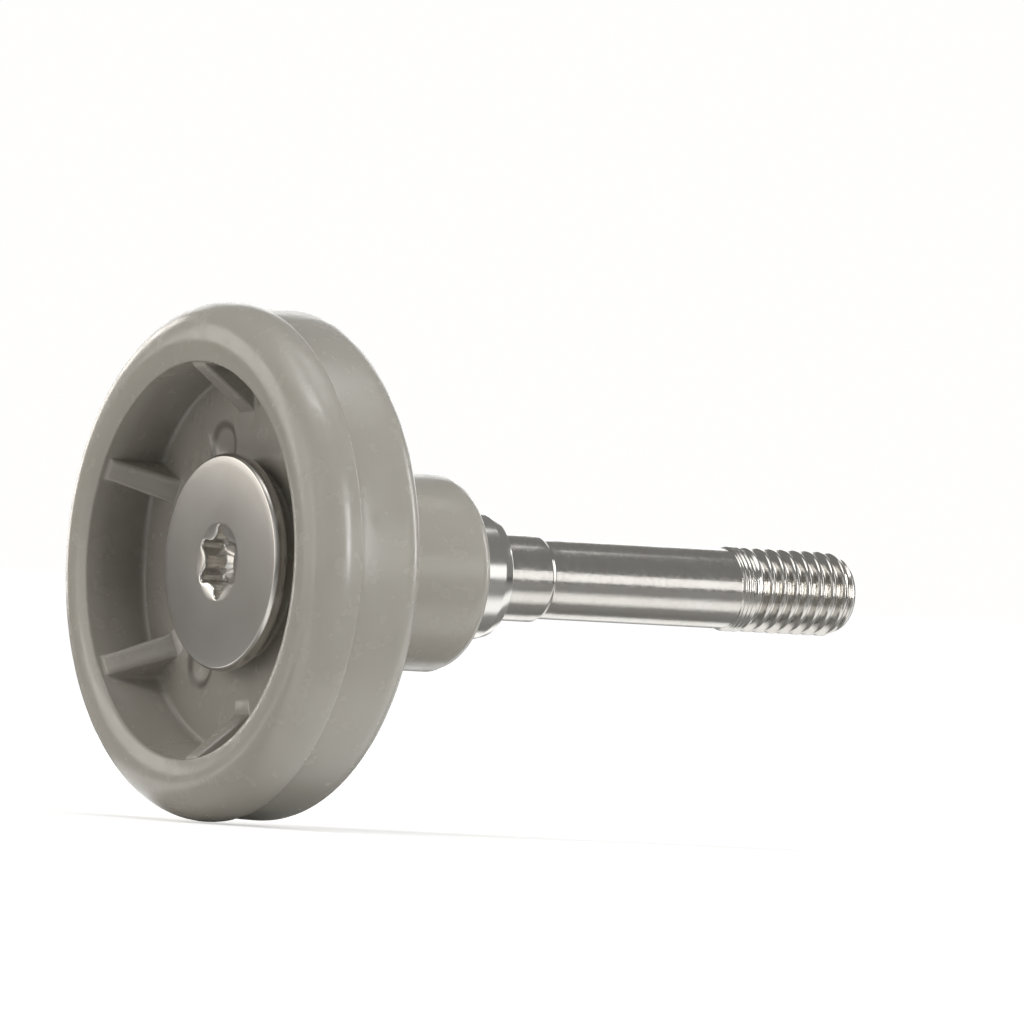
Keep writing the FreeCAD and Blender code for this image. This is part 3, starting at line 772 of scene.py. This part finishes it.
tree, shader, here = shader_tree(bolt_steel, (0.57, 0.555, 0.53), Metallic=1.0)
cloud = noise(tree, here, 3.0, detail=3.0)
tree.links.new(tint(tree, cloud, BROWN_STEEL, GREY_STEEL), shader.inputs["Base Color"])
along_axis = node(tree, "ShaderNodeSeparateXYZ", {0: here}).outputs["Y"]
on_shank = ramp(tree, along_axis, 0.1, 1.0, HEAD_BACK * MM, (HEAD_BACK + 1) * MM)
speckle = noise(tree, here, 0.30, detail=3.0, roughness=0.65)
smoother = ramp(tree, speckle, -0.16, -0.03, 0.35, 0.65)
satin = math_node(tree, "MULTIPLY_ADD", on_shank, smoother, HEAD_ROUGHNESS)
tree.links.new(satin, shader.inputs["Roughness"])
pits = bump(tree, multiply(tree, speckle, on_shank), 0.0045)
drawn = noise(tree, here, 0.20, detail=2.0, stretch=(1, 5, 1))
streaks = bump(tree, multiply(tree, drawn, on_shank), 0.0035, pits)
tree.links.new(streaks, shader.inputs["Normal"])
bolt.data.materials.clear()
bolt.data.materials.append(bolt_steel)

sleeve_steel = bpy.data.materials.new("sleeve_steel_turned")
tree, shader, here = shader_tree(sleeve_steel, (0.66, 0.645, 0.615), Metallic=1.0)
polish = ramp(tree, noise(tree, here, 1.6, detail=4.0), 0.10, 0.20, 0.3, 0.7)
tree.links.new(polish, shader.inputs["Roughness"])
rings_bump = bump(tree, noise(tree, here, 0.12, detail=2.0, stretch=(40, 1, 40)), 0.0012)
tree.links.new(rings_bump, shader.inputs["Normal"])
sleeve.data.materials.append(sleeve_steel)
print("steels made")

# %% [markdown]
# ## Floor, backdrop and light
# The photo looks as if it was taken in a white tent. Three narrow lights stand where its highlights seem
# to come from: a tall one to the right of the camera, one overhead, and a dim one before the open front.
# Soft panels fill in round them, two of them from behind. The floor stays a real, pale, matt floor that
# keeps the shadow, and the camera sees it lifted to the white of the backdrop. For glossy rays alone it
# has two bright bands along the axis and darkens with distance, and the tent is dimmer than the camera
# sees it. These are set to match the steel in the photo, so the steel mirrors less white than the
# backdrop would give it.

# %% Studio
scene = bpy.context.scene
scene.view_settings.view_transform = "Standard"

world = bpy.data.worlds.new("white_tent")
scene.world = world
world.use_nodes = True
tree = world.node_tree
sky = tree.nodes["Background"]
seen = node(tree, "ShaderNodeLightPath")
sky.inputs["Color"].default_value = (1.0, 0.995, 0.985, 1.0)
dim_tent = math_node(tree, "MULTIPLY_ADD", seen.outputs["Is Glossy Ray"], 0.20, 0.07)
tent = math_node(tree, "MAXIMUM", seen.outputs["Is Camera Ray"], dim_tent)
tree.links.new(tent, sky.inputs["Strength"])

FLOOR_LEVEL, FLOOR_REACH = cad_box[0].z - 0.0001, 4.0
PALE_FLOOR, FAR_FLOOR = (0.82, 0.82, 0.81), (0.10, 0.10, 0.10)
floor_mesh = bpy.data.meshes.new("studio_floor")
corners = [(x * FLOOR_REACH, y * FLOOR_REACH, FLOOR_LEVEL) for x, y in ((-1, -1), (1, -1), (1, 1), (-1, 1))]
floor_mesh.from_pydata(corners, [], [(0, 1, 2, 3)])
studio_floor = new_piece(floor_mesh, "studio_floor")
floor_paint = bpy.data.materials.new("pale_floor")
tree, shader, here = shader_tree(floor_paint, PALE_FLOOR, Roughness=0.9)
across = node(tree, "ShaderNodeSeparateXYZ", {0: here}).outputs["X"]
away = node(tree, "ShaderNodeVectorMath", {0: here}, operation="LENGTH").outputs["Value"]
seen = node(tree, "ShaderNodeLightPath").outputs

# The camera sees the floor lifted to white. Glossy rays see two bands of painted reflection glow, with a gap of
# painted shadow under the axis
for_camera = multiply(tree, seen["Is Camera Ray"], ramp(tree, away, 0.45, 1.0, 0.05, 0.35))
off_middle = math_node(tree, "ABSOLUTE", math_node(tree, "ADD", across, -1 * MM))
gap = ramp(tree, off_middle, 0.0, 1.05, 6 * MM, 10 * MM)
near = ramp(tree, math_node(tree, "ABSOLUTE", across), 1.0, 0.0, 19 * MM, 30 * MM)
for_steel = multiply(tree, seen["Is Glossy Ray"], multiply(tree, gap, near))
glow = math_node(tree, "ADD", for_camera, for_steel)
tree.links.new(glow, shader.inputs["Emission Strength"])
shader.inputs["Emission Color"].default_value = (1.0, 1.0, 1.0, 1.0)
# For glossy rays the floor's colour darkens with distance: painted shade in what the steel mirrors
dull = multiply(tree, seen["Is Glossy Ray"], ramp(tree, away, 0.47, 0.95, 0.08, 0.25))
tree.links.new(tint(tree, dull, PALE_FLOOR, FAR_FLOOR), shader.inputs["Base Color"])
floor_mesh.materials.append(floor_paint)


WHITE, WARM = (1.0, 1.0, 1.0), (1.0, 0.955, 0.90)


def soft_box(name, towards, distance, width, height, glow, color=WHITE):
    """A soft light that looks at the roller, with sizes in metres; glow is how bright its surface is."""
    lamp = bpy.data.lights.new(name, "AREA")
    lamp.color = color
    lamp.shape = "RECTANGLE"
    lamp.size, lamp.size_y = width, height
    lamp.energy = glow * math.pi * width * height
    holder = bpy.data.objects.new(name, lamp)
    scene.collection.objects.link(holder)
    holder.location = Vector(towards).normalized() * distance
    holder.rotation_mode = "QUATERNION"
    holder.rotation_quaternion = Vector(towards).to_track_quat("Z", "Y")
    holder.visible_camera = False


for light in (
    ("top_panel", (0.12, -0.12, 0.98), 0.17, 0.12, 0.12, 1.0),
    ("top_front", (0.05, -0.40, 0.90), 0.40, 0.26, 0.22, 1.0),
    ("top_back", (0.10, 0.25, 0.95), 0.30, 0.16, 0.16, 1.0),
    ("key_strip", (0.96, 0.08, 0.20), 0.42, 0.08, 0.30, 10.0),
    ("over_strip", (0.24, -0.30, 0.90), 0.40, 0.20, 0.07, 4.0),
    ("front_strip", (0.0, -0.99, 0.05), 0.45, 0.035, 0.20, 2.0, WARM),
    ("right_strip", (0.85, 0.53, 0.10), 0.40, 0.24, 0.17, 1.35),
    ("front_fill", (-0.32, -0.92, 0.16), 0.45, 0.30, 0.30, 1.4, WARM),
    ("left_fill", (-0.688, -0.664, 0.292), 0.42, 0.22, 0.18, 2.3, WARM),
    ("right_fill", (0.25, -0.94, 0.25), 0.45, 0.30, 0.30, 0.5),
    ("far_panel", (-0.85, 0.53, 0.12), 0.55, 0.44, 0.44, 1.5),
    ("back_panel", (0.06, 0.98, 0.22), 0.50, 0.11, 0.26, 5.0),
    ("left_edge", (-0.99, -0.02, 0.16), 0.42, 0.09, 0.22, 4.0, WARM),
):
    soft_box(*light)
print("floor level in mm:", round(FLOOR_LEVEL / MM, 2))

# %% [markdown]
# ## The camera
# The photograph looks at the open front from 58 degrees round, level with the axis, from far away: the two
# ends of the roller have nearly the same scale. The picture is turned a little, so that the stud points
# slightly down.

# %% Camera
AZIMUTH, ELEVATION, ROLL = 58.0, 0.0, 3.15
LENS, FRAME_WIDTH = 850.0, 70.35 * MM
AIM = Vector((0.0, 2.5 * MM, 0.0))
AIM_ABOVE = 4.5 * MM

camera_data = bpy.data.cameras.new("camera")
camera = bpy.data.objects.new("camera", camera_data)
scene.collection.objects.link(camera)
scene.camera = camera
camera_data.lens = LENS
camera_data.sensor_width = 36.0
camera_data.clip_end = 20.0
turn, lift = math.radians(AZIMUTH), math.radians(ELEVATION)
back = Vector((math.sin(turn) * math.cos(lift), -math.cos(turn) * math.cos(lift), math.sin(lift)))
roll = Matrix.Rotation(math.radians(ROLL), 3, "Z").to_quaternion()
camera.rotation_mode = "QUATERNION"
camera.rotation_quaternion = back.to_track_quat("Z", "Y") @ roll
up = camera.rotation_quaternion @ Vector((0, 1, 0))
distance = FRAME_WIDTH * LENS / camera_data.sensor_width
camera.location = AIM + up * AIM_ABOVE + back * distance
print("camera distance in mm:", round(distance / MM))
